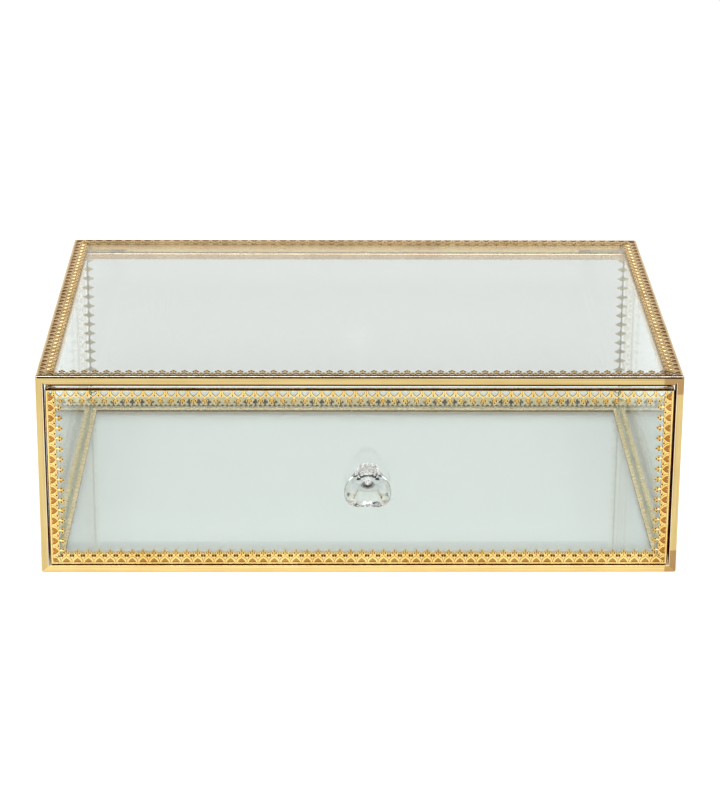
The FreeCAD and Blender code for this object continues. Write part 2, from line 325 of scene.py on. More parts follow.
def brass(name, face, shade, roughness, metal=1.0, streaks=0.0, bruise=None):
    """Brass sheet: colour drifts slowly, roughness varies, and the sheet is never quite flat.

    Streaks run along the strip as the rolls and the polish left them. A bruise
    is a tone at the front frame's right corners, where each solder mark fades
    in from the first to the second x and z, in metres.
    """
    material, tree = empty_material(name)
    place = node(tree, "TexCoord")
    drift = node(tree, "TexNoise", Scale=55.0, Detail=4.0)
    colour = node(tree, "MixRGB")
    colour.inputs[1].default_value = (*face, 1.0)
    colour.inputs[2].default_value = (*shade, 1.0)
    reach = node(tree, "MapRange")
    reach.inputs["From Min"].default_value = 0.40
    reach.inputs["From Max"].default_value = 0.68
    rub = node(tree, "TexNoise", Scale=420.0, Detail=3.0)
    gloss = node(tree, "MapRange")
    gloss.inputs["To Min"].default_value = roughness * 0.6
    gloss.inputs["To Max"].default_value = roughness * 1.7
    wave = node(tree, "TexNoise", Scale=160.0, Detail=2.0)
    bump = node(tree, "Bump", Strength=0.3, Distance=0.0003)
    finish = node(tree, "BsdfPrincipled", Metallic=metal)
    if not metal:
        finish.inputs["Specular IOR Level"].default_value = 0.0
    out = node(tree, "OutputMaterial")
    links = [
        (place.outputs["Object"], drift.inputs["Vector"]),
        (place.outputs["Object"], rub.inputs["Vector"]),
        (place.outputs["Object"], wave.inputs["Vector"]),
        (reach.outputs[0], colour.inputs[0]),
        (rub.outputs["Fac"], gloss.inputs["Value"]),
        (gloss.outputs[0], finish.inputs["Roughness"]),
        (wave.outputs["Fac"], bump.inputs["Height"]),
        (bump.outputs[0], finish.inputs["Normal"]),
        (finish.outputs[0], out.inputs["Surface"]),
    ]
    mottle = drift.outputs["Fac"]
    if streaks:
        flat = node(tree, "Mapping")
        flat.inputs["Scale"].default_value = (0.012, 1.6, 1.0)
        drawn = node(tree, "TexNoise", Scale=1.0, Detail=2.0)
        both = node(tree, "Mix", data_type="FLOAT")
        both.inputs[0].default_value = streaks
        links += [
            (place.outputs["UV"], flat.inputs["Vector"]),
            (flat.outputs[0], drawn.inputs["Vector"]),
            (drift.outputs["Fac"], both.inputs[2]),
            (drawn.outputs["Fac"], both.inputs[3]),
        ]
        mottle = both.outputs[0]
    links.append((mottle, reach.inputs["Value"]))
    tone = colour.outputs[0]
    if bruise:
        at = node(tree, "SeparateXYZ")
        links.append((place.outputs["Object"], at.inputs[0]))
        masks = []
        for x_from, x_to, z_from, z_to in solder_marks:
            over = node(tree, "MapRange")
            over.inputs["From Min"].default_value = x_from
            over.inputs["From Max"].default_value = x_to
            high = node(tree, "MapRange")
            high.inputs["From Min"].default_value = z_from
            high.inputs["From Max"].default_value = z_to
            both_ways = node(tree, "Math", operation="MULTIPLY")
            links += [
                (at.outputs["X"], over.inputs["Value"]),
                (at.outputs["Z"], high.inputs["Value"]),
                (over.outputs[0], both_ways.inputs[0]),
                (high.outputs[0], both_ways.inputs[1]),
            ]
            masks.append(both_ways.outputs[0])
        either = node(tree, "Math", operation="MAXIMUM")
        darker = node(tree, "MixRGB")
        darker.inputs[2].default_value = (*bruise, 1.0)
        links += [
            (masks[0], either.inputs[0]),
            (masks[1], either.inputs[1]),
            (either.outputs[0], darker.inputs[0]),
            (tone, darker.inputs[1]),
        ]
        tone = darker.outputs[0]
    links.append((tone, finish.inputs["Base Color"]))
    for a, b in links:
        tree.links.new(a, b)
    return material


def bent_line(points, radii, steps=8):
    """A line through corner points in a plane, with each inner corner rounded to a radius.

    Each corner is replaced by points on an arc that is tangent to both runs.
    """
    points = np.array(points, dtype=float)
    line = [points[:1]]
    for before, corner, after, radius in zip(points, points[1:], points[2:], radii):
        back = (before - corner) / np.linalg.norm(before - corner)
        on = (after - corner) / np.linalg.norm(after - corner)
        half = np.arccos(np.clip(back @ on, -1, 1)) / 2
        middle = (back + on) / np.linalg.norm(back + on)
        centre = corner + middle * radius / np.sin(half)
        begin = corner + back * radius / np.tan(half) - centre
        end = corner + on * radius / np.tan(half) - centre
        angle = np.pi - 2 * half
        share = np.linspace(0, 1, steps)[:, None]
        arc = (np.sin((1 - share) * angle) * begin + np.sin(share * angle) * end) / np.sin(angle)
        line.append(centre + arc)
    line.append(points[-1:])
    return np.concatenate(line)


# Each strip has its own list of finishes, in this order: the face, the back, painted shade in hollows, a
# lining under the lace (on plain strips a painted highlight), and a dark painted line.
FACE, BACK, PAINTED_SHADE, LINING_AND_HIGHLIGHT, PAINTED_DARK = 0, 1, 2, 3, 4


def folded_sheet(outline, length, mitre, marks=()):
    """Sheet metal bent to an outline and carried along a straight edge.

    The outline is the outer side; the inner side lies one sheet thickness in
    along its normals. A mitred end starts later by the distance from the edge,
    on both legs or in plan only. Returns points as (along, a, b), quad faces,
    the finish of each face and the flat layout. Marks give parts of the
    outline a finish of their own, from one distance along it to another; a
    start below zero is counted from the far end.
    """
    run = np.gradient(outline, axis=0)
    normal = np.stack([-run[:, 1], run[:, 0]], axis=1)
    normal /= np.linalg.norm(normal, axis=1, keepdims=True)
    middle = len(outline) // 2
    if normal[middle] @ (outline.mean(axis=0) - outline[middle]) < 0:
        normal = -normal
    inner = outline + normal * sheet
    ring = np.concatenate([outline, inner[::-1]])
    back = {"both": np.max(ring, axis=1), "plan": ring[:, 0], "": np.zeros(len(ring))}[mitre]
    ends = [np.column_stack([back, ring]), np.column_stack([length - back, ring])]
    n, m = len(ring), len(outline)
    j = np.arange(n)
    sides = np.stack([j, (j + 1) % n, (j + 1) % n + n, j + n], axis=1)
    k = np.arange(m - 1)
    cap = np.stack([k, n - 1 - k, n - 2 - k, k + 1], axis=1)
    which = np.where(j < m - 1, FACE, BACK)
    across = np.concatenate([[0], np.cumsum(np.linalg.norm(np.diff(outline, axis=0), axis=1))])
    along = (across[:-1] + across[1:]) / 2
    # Marks put painted highlight and shade lines on the outline.
    for start, end, finish in marks:
        if start < 0:
            start, end = across[-1] + start, across[-1] + end
        which[:m - 1][(along > start) & (along < end)] = finish
    across = np.concatenate([across, across[::-1]])
    points = np.concatenate(ends)
    return (
        points,
        [np.concatenate([sides, cap, cap[:, ::-1] + n])],
        [np.concatenate([which, np.full(2 * (m - 1), FACE)])],
        np.column_stack([points[:, 0], np.tile(across, 2)]),
    )


def stamped_ring(inner, outer, bevel=0.16, back=0.36, floor=None):
    """A closed loop of sheet between two outlines, with bevelled edges.

    Four loops: the inner outline at the back, both outlines drawn towards each
    other at the face, and the outer outline at the back. The wall into the hole
    is painted shade. A floor closes the hole with a finish of its own.
    """
    across = outer - inner
    step = across / np.linalg.norm(across, axis=1, keepdims=True) * bevel
    loops = [(inner, back), (inner + step, 0.0), (outer - step, 0.0), (outer, back)]
    points = np.concatenate([np.column_stack([p, np.full(len(p), h)]) for p, h in loops])
    n, count = len(inner), len(loops)
    j = np.arange(n)
    on = (j + 1) % n
    faces = [
        np.stack([a * n + j, a * n + on, (a + 1) % count * n + on, (a + 1) % count * n + j], axis=1)
        for a in range(count)
    ]
    which = np.repeat([PAINTED_SHADE, FACE, FACE, BACK], n)
    if floor is not None:
        spokes = np.stack([np.full(n - 2, 0), on[:-2], on[1:-1], on[1:-1]], axis=1)
        faces.append(spokes)
        which = np.concatenate([which, np.full(n - 2, floor)])
    return points, np.concatenate(faces), which


def circle(count, radius, centre):
    """Points evenly round a circle, as seen from the face of the sheet."""
    t = np.arange(count) * 2 * np.pi / count
    return np.array(centre) + radius * np.stack([np.sin(t), np.cos(t)], axis=1)


def heart_ring(wide, tall, start, floor):
    """A heart-shaped hole in a frame with five straight sides.

    The heart is the curve 16 sin t |sin t|^1.3 across and 13 cos t - 5 cos 2t
    - 2 cos 3t - cos 4t along, scaled, and 4 cos^6 t off near its notch. Its
    frame is where each ray from the middle meets the nearest side.
    """
    t = np.arange(14) * 2 * np.pi / 14
    across = 16 * np.sin(t) * np.abs(np.sin(t)) ** 1.3
    along = 13 * np.cos(t) - 5 * np.cos(2 * t) - 2 * np.cos(3 * t) - np.cos(4 * t)
    along -= 4 * np.maximum(np.cos(t), 0) ** 6
    hole = np.stack([across / 32 * wide, start + (12 - along) / 29 * tall], axis=1)
    middle = np.array([0.0, start + 1.15])
    rays = hole - middle
    rays /= np.linalg.norm(rays, axis=1, keepdims=True)
    sides = np.array([[0, -1], [1, 0], [-1, 0], [0.56, 0.83], [-0.56, 0.83]])
    reach = np.array([1.28, 2.5, 2.5, 2.0, 2.0])
    closeness = np.max(rays @ (sides / reach[:, None]).T, axis=1)
    back = 0.36 if floor is None else 0.30
    return stamped_ring(hole, middle + rays / closeness[:, None], back=back, floor=floor)


def eyelet(radius, rim, centre, floor, count=7):
    """A small blind eyelet with a raised rim."""
    hole, edge = circle(count, radius, centre), circle(count, rim, centre)
    return stamped_ring(hole, edge, bevel=0.1, back=0.32, floor=floor)


def neck(begin, end):
    """The short bar with a sloping face from a heart's point to the finial's three eyelets."""
    across = 0.42 * np.array([-1.0, 1.0, 0.8, -0.8])
    along = np.array([begin, begin, end, end])
    outer = np.column_stack([across, along, np.full(4, 0.36)])
    crest = np.array([[0.0, begin, 0.0], [0.0, end, 0.0]])
    faces = np.array([[0, 4, 5, 3], [1, 2, 5, 4], [0, 1, 4, 4], [2, 3, 5, 5]])
    return np.concatenate([outer, crest]), faces, np.zeros(4, dtype=int)


def lace_unit(wide, tall, start, floor, between, dot):
    """A heart, what lies between it and the next, and a finial of three eyelets on a neck."""
    hole, apart, low_eyes, tip = 0.30, 0.82, start + 4.85, start + 5.85
    return [
        heart_ring(wide, tall, start, floor),
        *between,
        neck(start + 3.0, start + 5.4),
        eyelet(hole, 0.72, (apart, low_eyes), dot),
        eyelet(hole, 0.72, (-apart, low_eyes), dot),
        eyelet(hole, 0.70, (0.0, tip), dot),
    ]


case_unit = lace_unit(3.2, 2.6, 1.3, None, [eyelet(0.24, 0.95, (pitch / 2, 3.95), FACE, 8)], FACE)


def lace_row(length, lead, mitred, unit, drawn_in):
    """The lace unit repeated along a strip, cut at the mitre of both ends.

    lead is how far the first unit's middle lies from the end; with none, the
    row is centred. drawn_in is how much of the band lies round the corner.
    """
    if lead is None:
        count = int(length // pitch)
        lead = (length - count * pitch) / 2 + pitch / 2
    count = int((length - lead) // pitch) + 1
    centres = lead + pitch * np.arange(count)
    points, faces, which, start = [], [], [], 0
    for part, quads, finish in unit:
        row = (part[None] + np.array([1.0, 0.0, 0.0]) * centres[:, None, None]).reshape(-1, 3)
        row[:, 1] = np.maximum(row[:, 1] - drawn_in, 0.3)
        gap = row[:, 1] + 0.05 if mitred else 0.1
        row[:, 0] = np.clip(row[:, 0], gap, length - gap)
        steps = np.arange(count) * len(part)
        faces.append((quads[None] + steps[:, None, None]).reshape(-1, 4) + start)
        which.append(np.tile(finish, count))
        points.append(row)
        start += len(row)
    points = np.concatenate(points)
    return points, [np.concatenate(faces)], [np.concatenate(which)], points[:, :2]


def assembled(name, parts, corner, axes, finishes, body, replaced):
    """One piece from parts given as (along, a, b) in millimetres from a corner, fixed to its body."""
    points, faces, which, layout, start = [], [], [], [], 0
    mirrored = np.linalg.det(np.array(axes, dtype=float)) < 0
    for p, fs, ws, uv in parts:
        for f, w in zip(fs, ws):
            faces.append((f[:, ::-1] if mirrored else f) + start)
            which.append(w)
        points.append(p)
        layout.append(uv)
        start += len(p)
    placed = (np.array(corner, dtype=float) + np.concatenate(points) @ np.array(axes, dtype=float)) * MM
    made = finished_mesh(name, placed, faces, finishes, np.concatenate(which), np.concatenate(layout))
    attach(made, body)
    if replaced:
        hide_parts(*replaced)


def edge_strip(name, finishes, body, corner, along, to_a, to_b, length, leg_a, leg_b, mitre="both"):
    """One folded strip: its bent sheet and the lace of each leg, placed along an edge.

    A leg is a dict: lace with its lead and unit, or plain with a width, a lip,
    a return of the lip, the width of the rim at the bend, and its finish and
    that of the lip's inside; the rim's finish is a painted highlight on the
    frame's sides and painted shade on its top, and the lip's inside is painted
    shade unless the leg gives another. A lean slopes the leg back towards the
    edge. Backing is plain strips under the lace, each from one distance to
    another, with the finish that shows through the lace, and under is the
    finish of its other side. Marks are painted highlight and shade lines along
    the fold.
    """
    outline, radii = [(leg_a.get("width", band + 0.1), 0.0), (0.0, 0.0)], [fold_radius]
    marks = list(leg_a.get("marks", ()))
    if "lean" in leg_a:
        outline[1:] = [(0.1, leg_a["lean"]), (0.0, leg_a["lean"] + 0.15)]
        radii = [0.05, 0.06]
    outline.append((0.0, leg_b.get("width", band + 0.1)))
    if leg_b.get("lip"):
        outline.append((leg_b["lip"], leg_b["width"]))
        radii.append(0.25)
        turn = leg_b["lip"]
        if leg_b.get("return"):
            outline.append((leg_b["lip"], leg_b["width"] + leg_b["return"]))
            radii.append(0.45)
            turn += leg_b["return"]
        inside_from = 0.12 - turn
        # The rim at the bend and the lip's inside take painted light and shade.
        marks += [
            (-turn - leg_b["rim"], inside_from, leg_b["shine"]),
            (inside_from, 0.0, leg_b.get("deep", PAINTED_SHADE)),
        ]
    parts = [folded_sheet(bent_line(outline, radii), length, mitre, marks)]
    for leg, swap in ((leg_a, False), (leg_b, True)):
        if "lead" not in leg:
            continue
        unit, drawn_in = leg.get("unit", case_unit), leg.get("drawn_in", 0.0)
        rows = [lace_row(length, leg["lead"], bool(mitre), unit, drawn_in)]
        for begin, reach, seen in leg.get("backing", ()):
            rim = np.array([
                (begin, begin), (length - begin, begin), (length - reach, reach), (reach, reach),
            ])
            plate = np.concatenate([np.column_stack([rim, np.full(4, h)]) for h in (0.33, 0.37)])
            quads = np.array([
                [0, 1, 2, 3], [7, 6, 5, 4], [4, 5, 1, 0], [5, 6, 2, 1], [6, 7, 3, 2], [7, 4, 0, 3],
            ])
            which = np.array([seen, leg.get("under", BACK), seen, seen, seen, seen])
            rows.append((plate, [quads], [which], plate[:, :2]))
        for p, fs, ws, uv in rows:
            if swap:
                p, fs = p[:, [0, 2, 1]], [f[:, ::-1] for f in fs]
            parts.append((p, fs, ws, uv))
    assembled(name + "_brass", parts, corner, (along, to_a, to_b), finishes, body, [name])


X, Y, Z = np.eye(3)
inside_brass = brass("inside_brass", (1.0, 0.78, 0.38), (0.90, 0.64, 0.27), 0.15)
# Dark red-brown painted shade: the walls of the pierced holes, the floors of blind eyelets and crescents,
# the insides of lips and dark lines in folds.
painted_shade_brass = brass("painted_shade_brass", (0.22, 0.045, 0.015), (0.12, 0.025, 0.01), 0.4, 0.0)
# Pale painted highlight: the white lines along the frame's folds and rims and along the fold of the
# drawer's top strip.
painted_highlight_brass = brass("painted_highlight_brass", (0.97, 0.92, 0.82), (0.92, 0.82, 0.64), 0.15)
# Brown painted shade under the lined lace strips, standing for the shaded pane edge and other leg seen
# through the slits.
painted_slit_shade = brass("painted_slit_shade", (0.50, 0.33, 0.13), (0.32, 0.18, 0.05), 0.3, 0.6)
rolled = {"roughness": 0.13, "streaks": 0.75}
# The frame and the sill are one brass in a shaded and a lit copy: the sill's is painted lighter for the
# bright table in front that it reflects.
frame_brass = brass(
    "frame_brass", (0.64, 0.495, 0.215), (0.51, 0.355, 0.13), bruise=(0.38, 0.235, 0.095), **rolled,
)
sill_brass_painted_lighter = brass(
    "sill_brass_painted_lighter", (0.86, 0.66, 0.29), (0.72, 0.50, 0.18), bruise=(0.50, 0.31, 0.11), **rolled,
)
case_lace = brass("case_lace", (0.84, 0.65, 0.34), (0.68, 0.48, 0.20), 0.28, 0.8)
# Black painted shade: the band and holes of the drawer's top strip, in the shadow and dark reflection of
# the frame's top rail, and the dark lines along the frame's top fold.
painted_black_shade = brass("painted_black_shade", (0.045, 0.022, 0.014), (0.02, 0.01, 0.006), 0.3, 0.0)
plain_finishes = [frame_brass, inside_brass, painted_shade_brass, painted_highlight_brass, painted_black_shade]
sill_finishes = [sill_brass_painted_lighter, inside_brass]
lace_finishes = [case_lace, inside_brass, painted_shade_brass, painted_slit_shade]
rear_brass = brass("rear_brass", (1.0, 0.78, 0.38), (1.0, 0.72, 0.32), 0.05)
dull_lace = brass("dull_lace", (1.0, 0.88, 0.56), (0.94, 0.78, 0.44), 0.3)
corner_finishes = [case_lace, dull_lace, painted_shade_brass]
rear_finishes = [case_lace, rear_brass, painted_shade_brass, painted_slit_shade]
amber_film = wall_glass("amber_film", (1.0, 0.91, 0.70))
film_finishes = [case_lace, dull_lace, painted_shade_brass, amber_film]
lace = {"lead": None}
backed = {"lead": None, "backing": [(0.5, 8.8, FACE)]}
filmed = {"lead": None, "backing": [(0.5, 8.8, LINING_AND_HIGHLIGHT)], "under": LINING_AND_HIGHLIGHT}
# The lined strips have painted shade under their hearts and plain brass further in.
lined = {"lead": None, "backing": [(0.5, 5.7, LINING_AND_HIGHLIGHT), (5.7, 7.4, FACE)]}
# Along the frame's top fold: a painted dark line, a painted highlight line and another painted dark line.
crest = {"lead": 1.6, "marks": [(0.0, 0.95, PAINTED_DARK), (0.95, 1.35, LINING_AND_HIGHLIGHT), (1.35, 2.10, PAINTED_DARK)]}
# shine is the rim's painted light: a highlight on the frame's sides and painted shade on its top; on the
# sill it is the plain inside brass, as is deep, the lip's inside.
plain_front = {"width": 3.3, "lip": 6.5, "rim": 0.1, "shine": LINING_AND_HIGHLIGHT}
sill_front = {"width": 3.3, "lip": 6.5, "rim": 0.3, "shine": BACK, "deep": BACK}
plain_front_top = {"width": 4.2, "lip": 2.8, "return": 1.5, "rim": 0.45, "shine": PAINTED_SHADE}
foot = {"width": 6.0}
ll, lr = (left, front, 0.0), (right, front, 0.0)
hl, hr = (left, front, tall), (right, front, tall)
rl, rr = (left, rear, 0.0), (right, rear, 0.0)
rhl = (left, rear, tall)
for name, finishes, corner, along, to_a, to_b, length, leg_a, leg_b in (
    ("front_top_strip", plain_finishes, hl, X, Y, -Z, width, crest, plain_front_top),
    ("front_bottom_strip", sill_finishes, ll, X, Y, Z, width, foot, sill_front),
    ("front_left_strip", plain_finishes, ll, Z, Y, X, tall, lace, plain_front),
    ("front_right_strip", plain_finishes, lr, Z, Y, -X, tall, lace, plain_front),
    ("top_left_strip", lace_finishes, hl, Y, X, -Z, depth, lined, lined),
    ("top_right_strip", lace_finishes, hr, Y, -X, -Z, depth, lined, lined),
    ("top_rear_strip", rear_finishes, rhl, X, -Y, -Z, width, lined, backed),
    ("rear_left_strip", corner_finishes, rl, Z, -Y, X, tall, lace, lace),
    ("rear_right_strip", corner_finishes, rr, Z, -Y, -X, tall, lace, lace),
    ("bottom_left_strip", lace_finishes, ll, Y, X, Z, depth, foot, lace),
    ("bottom_right_strip", lace_finishes, lr, Y, -X, Z, depth, foot, lace),
    ("bottom_rear_strip", film_finishes, rl, X, -Y, Z, width, foot, filmed),
):
    edge_strip(name, finishes, "case", corner, along, to_a, to_b, length, leg_a, leg_b)


# Floor and walls of the drawer, of the same clear glass; the front pane is
# drilled for the knob's screw.
drawer_glass = clear_glass("drawer_glass", floor_tint)
front_glass = clear_glass("front_glass", (0.925, 0.965, 0.940))
drawer_walls = wall_glass("drawer_walls", wall_tint)
for side, glass in (
    ("front", front_glass), ("floor", drawer_glass), ("left", drawer_walls), ("right", drawer_walls),
    ("back", drawer_walls),
):
    refinish("drawer_" + side + "_glass", glass)


# Channels that hold the drawer's floor: sheet folded round the pane's edges,
# mitred at the corners. The flange that shows inside is stamped with hearts
# that don't go through, drawn as flat hearts in darker ochre as painted shade
# of the stamping, and a bead of sealant runs along the foot of each wall.
half = 138.5
low, high = 3.5, 87.8
wall = half - sheet
pane = 2.5
recess = 0.3
pane_face = front + recess + sheet
pane_rear = pane_face + pane
drawer_rear = rear - 7.0
wall_rear = drawer_rear - sheet
channel_height, flange = 3.3, 5.5
channel_brass = brass("channel_brass", (0.92, 0.77, 0.47), (0.84, 0.66, 0.35), 0.25, 0.7)
rim_brass = brass("rim_brass", (0.80, 0.62, 0.38), (0.70, 0.50, 0.28), 0.24)
foot_brass = brass("foot_brass", (0.90, 0.66, 0.28), (0.76, 0.50, 0.18), 0.2, 0.7)
ochre_painted_shade = brass("ochre_painted_shade", (0.80, 0.58, 0.26), (0.72, 0.48, 0.18), 0.35, 0.7)
stand_off = 0.12


def channel_piece(name, finishes, corner, along, inward, length, outline, radii, mitre, extra=()):
    """A channel of the drawer, bent to an outline across (inward, up) and laid along one edge."""
    bent = folded_sheet(bent_line(outline, radii), length, mitre)
    assembled(name + "_brass", [bent, *extra], corner, (along, inward, Z), finishes, "drawer", [name])


def stamped_hearts(length, across, level):
    """Shallow hearts along a flange: the heart curve again, as one flat face each, in the painted shade
    finish.
    """
    t = np.arange(10) * 2 * np.pi / 10
    size, lead = 2.0, 6.0
    shape = np.stack([
        16 * np.sin(t) ** 3,
        13 * np.cos(t) - 5 * np.cos(2 * t) - 2 * np.cos(3 * t) - np.cos(4 * t),
    ], axis=1) / 32 * size
    centres = lead + pitch * np.arange(int((length - 2 * lead) // pitch) + 1)
    points = shape[None] + np.stack([centres, np.full(len(centres), across)], axis=1)[:, None]
    points = points.reshape(-1, 2)
    faces = np.arange(len(points)).reshape(-1, 10)
    flat = np.column_stack([points, np.full(len(points), level)])
    return flat, [faces[:, ::-1]], [np.full(len(faces), PAINTED_SHADE)], points


channel_outline = [(flange, 0.0), (0.0, 0.0), (0.0, channel_height), (flange, channel_height)]
run = wall_rear - pane_rear
for name, corner, along, inward, length in (
    ("drawer_floor_edge_left", (-wall, pane_rear, low), Y, X, run),
    ("drawer_floor_edge_right", (wall, pane_rear, low), Y, -X, run),
    ("drawer_floor_edge_front", (-wall, pane_rear + stand_off, low), X, Y, 2 * wall),
    ("drawer_floor_edge_back", (-wall, wall_rear, low), X, -Y, 2 * wall),
):
    hearts = [stamped_hearts(length, flange - 1.3, channel_height + 0.02)] if abs(along[1]) else []
    seen = foot_brass if name.endswith("front") else channel_brass
    channel_piece(name, [seen, inside_brass, ochre_painted_shade], corner, along, inward, length,
                  channel_outline, [0.5, 0.8], "plan", hearts)

sealant, tree = empty_material("sealant")
place = node(tree, "TexCoord")
grime = node(tree, "TexNoise", Scale=90.0, Detail=3.0)
tone = node(tree, "MixRGB")
tone.inputs[1].default_value = (0.26, 0.26, 0.17, 1.0)
tone.inputs[2].default_value = (0.42, 0.40, 0.27, 1.0)
finish = node(tree, "BsdfPrincipled", Roughness=0.35)
out = node(tree, "OutputMaterial")
for a, b in (
    (place.outputs["Object"], grime.inputs["Vector"]),
    (grime.outputs["Fac"], tone.inputs[0]),
    (tone.outputs[0], finish.inputs["Base Color"]),
    (finish.outputs[0], out.inputs["Surface"]),
):
    tree.links.new(a, b)


def bead(name, corner, along, inward, length, size, up=Z):
    """A rounded fillet in the corner of two panes: a hollow quarter circle carried along."""
    t = np.linspace(0, np.pi / 2, 4)
    arc = size - size * np.stack([np.sin(t), np.cos(t)], axis=1)
    ring = np.concatenate([[[0.0, 0.0]], arc])
    n = len(ring)
    points = np.concatenate([np.column_stack([np.full(n, u), ring]) for u in (0.0, length)])
    j = np.arange(n)
    sides = np.stack([j, (j + 1) % n, (j + 1) % n + n, j + n], axis=1)
    ends = np.stack([j[::-1], j + n])
    faces = [sides, ends]
    which = [np.zeros(len(f), dtype=int) for f in faces]
    part = (points, faces, which, points[:, :2])
    assembled(name, [part], corner, (along, inward, up), [sealant], "drawer", [])


off, end_gap, upright_bead = 0.03, 0.6, 76.0
foot_level = low + channel_height
inner = wall - pane
side_x, back_y, foot_z = inner - off, wall_rear - pane - off, foot_level + off
side_run, back_run = run - 3.2, 2 * (inner - end_gap)
bead("sealant_left", (-side_x, pane_rear + end_gap, foot_z), Y, X, side_run, 1.2)
bead("sealant_right", (side_x, pane_rear + end_gap, foot_z), Y, -X, side_run, 1.2)
bead("sealant_rear", (-inner + end_gap, back_y, foot_z), X, -Y, back_run, 0.5)
bead("sealant_upright_left", (-side_x, back_y, foot_level + end_gap), Z, X, upright_bead, 0.4, -Y)
bead("sealant_upright_right", (side_x, back_y, foot_level + end_gap), Z, -X, upright_bead, 0.4, -Y)


# Edging of the drawer: lace folded over the edges of the front pane, strips
# with cut points up the rear corners, caps on the top edges of the walls, and
# upright angles at the front corners.
drawer_lace = brass("drawer_lace", (0.90, 0.68, 0.27), (0.78, 0.53, 0.16), 0.13)
orange_brass = brass("orange_brass", (0.48, 0.225, 0.045), (0.32, 0.13, 0.03), 0.2)
brown_brass = brass("brown_brass", (0.48, 0.25, 0.075), (0.34, 0.15, 0.04), 0.2)
drawer_front = front + recess
turned_leg = {"width": 2.9}
# The drawer lace's eyelets have floors of painted shade, and its crescents are closed holes of painted
# shade.
top_eye = eyelet(0.26, 0.90, (pitch / 2, 3.2), PAINTED_SHADE, 8)
top_unit = lace_unit(3.5, 2.8, 0.75, None, [top_eye], PAINTED_SHADE)
side_eye = eyelet(0.32, 0.80, (pitch / 2, 3.9), PAINTED_SHADE, 8)
side_unit = lace_unit(3.1, 2.8, 1.1, LINING_AND_HIGHLIGHT, [side_eye], PAINTED_SHADE)
crescent = [eyelet(0.60, 0.72, (pitch / 2 + side, 4.5), PAINTED_SHADE) for side in (-0.5, 0.5)]
foot_unit = lace_unit(3.0, 2.3, 0.95, LINING_AND_HIGHLIGHT, crescent, PAINTED_SHADE)
sides_lined = [(0.6, 4.3, FACE)]
foot_lined = [(0.6, 5.4, FACE)]
# Along the fold of the drawer's top strip: the top and the band below are painted black, as the shade and
# dark reflection under the frame's top rail, with a painted highlight line between.
lean = {
    "width": 0.85, "lean": 0.18,
    "marks": [(0.0, 0.80, PAINTED_SHADE), (0.80, 2.70, LINING_AND_HIGHLIGHT), (2.70, 9.0, PAINTED_SHADE)],
}
for name, corner, along, to_a, length, leg, lining in (
    ("drawer_lace_top", (-half, drawer_front, high), X, -Z, 2 * half,
     {"lead": 1.65, "unit": top_unit, **lean}, painted_highlight_brass),
    ("drawer_lace_bottom", (-half, drawer_front, low), X, Z, 2 * half,
     {"lead": 2.4, "unit": foot_unit, "backing": foot_lined}, brown_brass),
    ("drawer_lace_left", (-half, drawer_front, low), Z, X, high - low,
     {"lead": 1.9, "unit": side_unit, "backing": sides_lined}, orange_brass),
    ("drawer_lace_right", (half, drawer_front, low), Z, -X, high - low,
     {"lead": 2.3, "unit": side_unit, "backing": sides_lined}, orange_brass),
):
    # The drawer's top strip takes the black painted shade, the others the dark red-brown painted shade.
    dark = painted_black_shade if "lean" in leg else painted_shade_brass
    finishes = [drawer_lace, inside_brass, dark, lining]
    edge_strip(name, finishes, "drawer", corner, along, to_a, Y, length, leg, turned_leg)


def leaf(begin, end, half_wide):
    """A pointed leaf of four facets that meet in a raised point, closed at the back."""
    middle = (begin + end) / 2
    across = half_wide * np.array([0.0, 1.0, 0.0, -1.0, 0.0])
    along = np.array([begin, middle, end, middle, middle])
    points = np.column_stack([across, along, np.array([0.36, 0.36, 0.36, 0.36, 0.0])])
    faces = np.array([[0, 1, 4, 4], [1, 2, 4, 4], [2, 3, 4, 4], [3, 0, 4, 4], [3, 2, 1, 0]])
    return points, faces, np.zeros(5, dtype=int)


rim_height, angle_leg = 3.0, 4.3
rim_foot = high - rim_height
upright = rim_foot - foot_level
rear_leg = {"lead": 3.1, "unit": [leaf(1.7, 7.7, 1.35)], "drawn_in": 1.6, "width": 1.0}
for name, x, inward in (("left", -half, X), ("right", half, -X)):
    corner = (x, drawer_rear, foot_level)
    edge_strip("drawer_lace_rear_" + name, [dull_lace, dull_lace], "drawer", corner, Z, inward, -Y, upright,
               rear_leg, {"width": angle_leg}, mitre="")

rim_outline = [(0.0, 0.0), (0.0, rim_height), (3.3, rim_height), (3.3, 0.0)]
rim_front = pane_rear + sheet
rim_run = drawer_rear - rim_front
for name, corner, along, inward, length, mitre in (
    ("drawer_rim_left", (-half, rim_front, rim_foot), Y, X, rim_run, ""),
    ("drawer_rim_right", (half, rim_front, rim_foot), Y, -X, rim_run, ""),
    ("drawer_rim_back", (-half, drawer_rear, rim_foot), X, -Y, 2 * half, "plan"),
):
    channel_piece(name, [rim_brass, inside_brass], corner, along, inward, length,
                  rim_outline, [0.6, 0.6], mitre)

angle_outline = [(angle_leg, 0.0), (0.0, 0.0), (0.0, angle_leg)]
for name, x, inward in (("left", -half, X), ("right", half, -X)):
    bent = folded_sheet(bent_line(angle_outline, [0.6]), upright, "")
    corner = (x, pane_rear + stand_off, foot_level)
    assembled("drawer_corner_" + name + "_brass", [bent], corner, (Z, inward, Y),
              [orange_brass, inside_brass], "drawer", ["drawer_corner_" + name])


# The knob: one piece of clear crystal, a triangle with round corners, cut in
# flat facets, that stands on the front pane by its narrow neck.
crystal = clear_glass("crystal", (0.995, 0.995, 0.995), 1.38)
axis = np.array([3.5, (low + high) / 2])


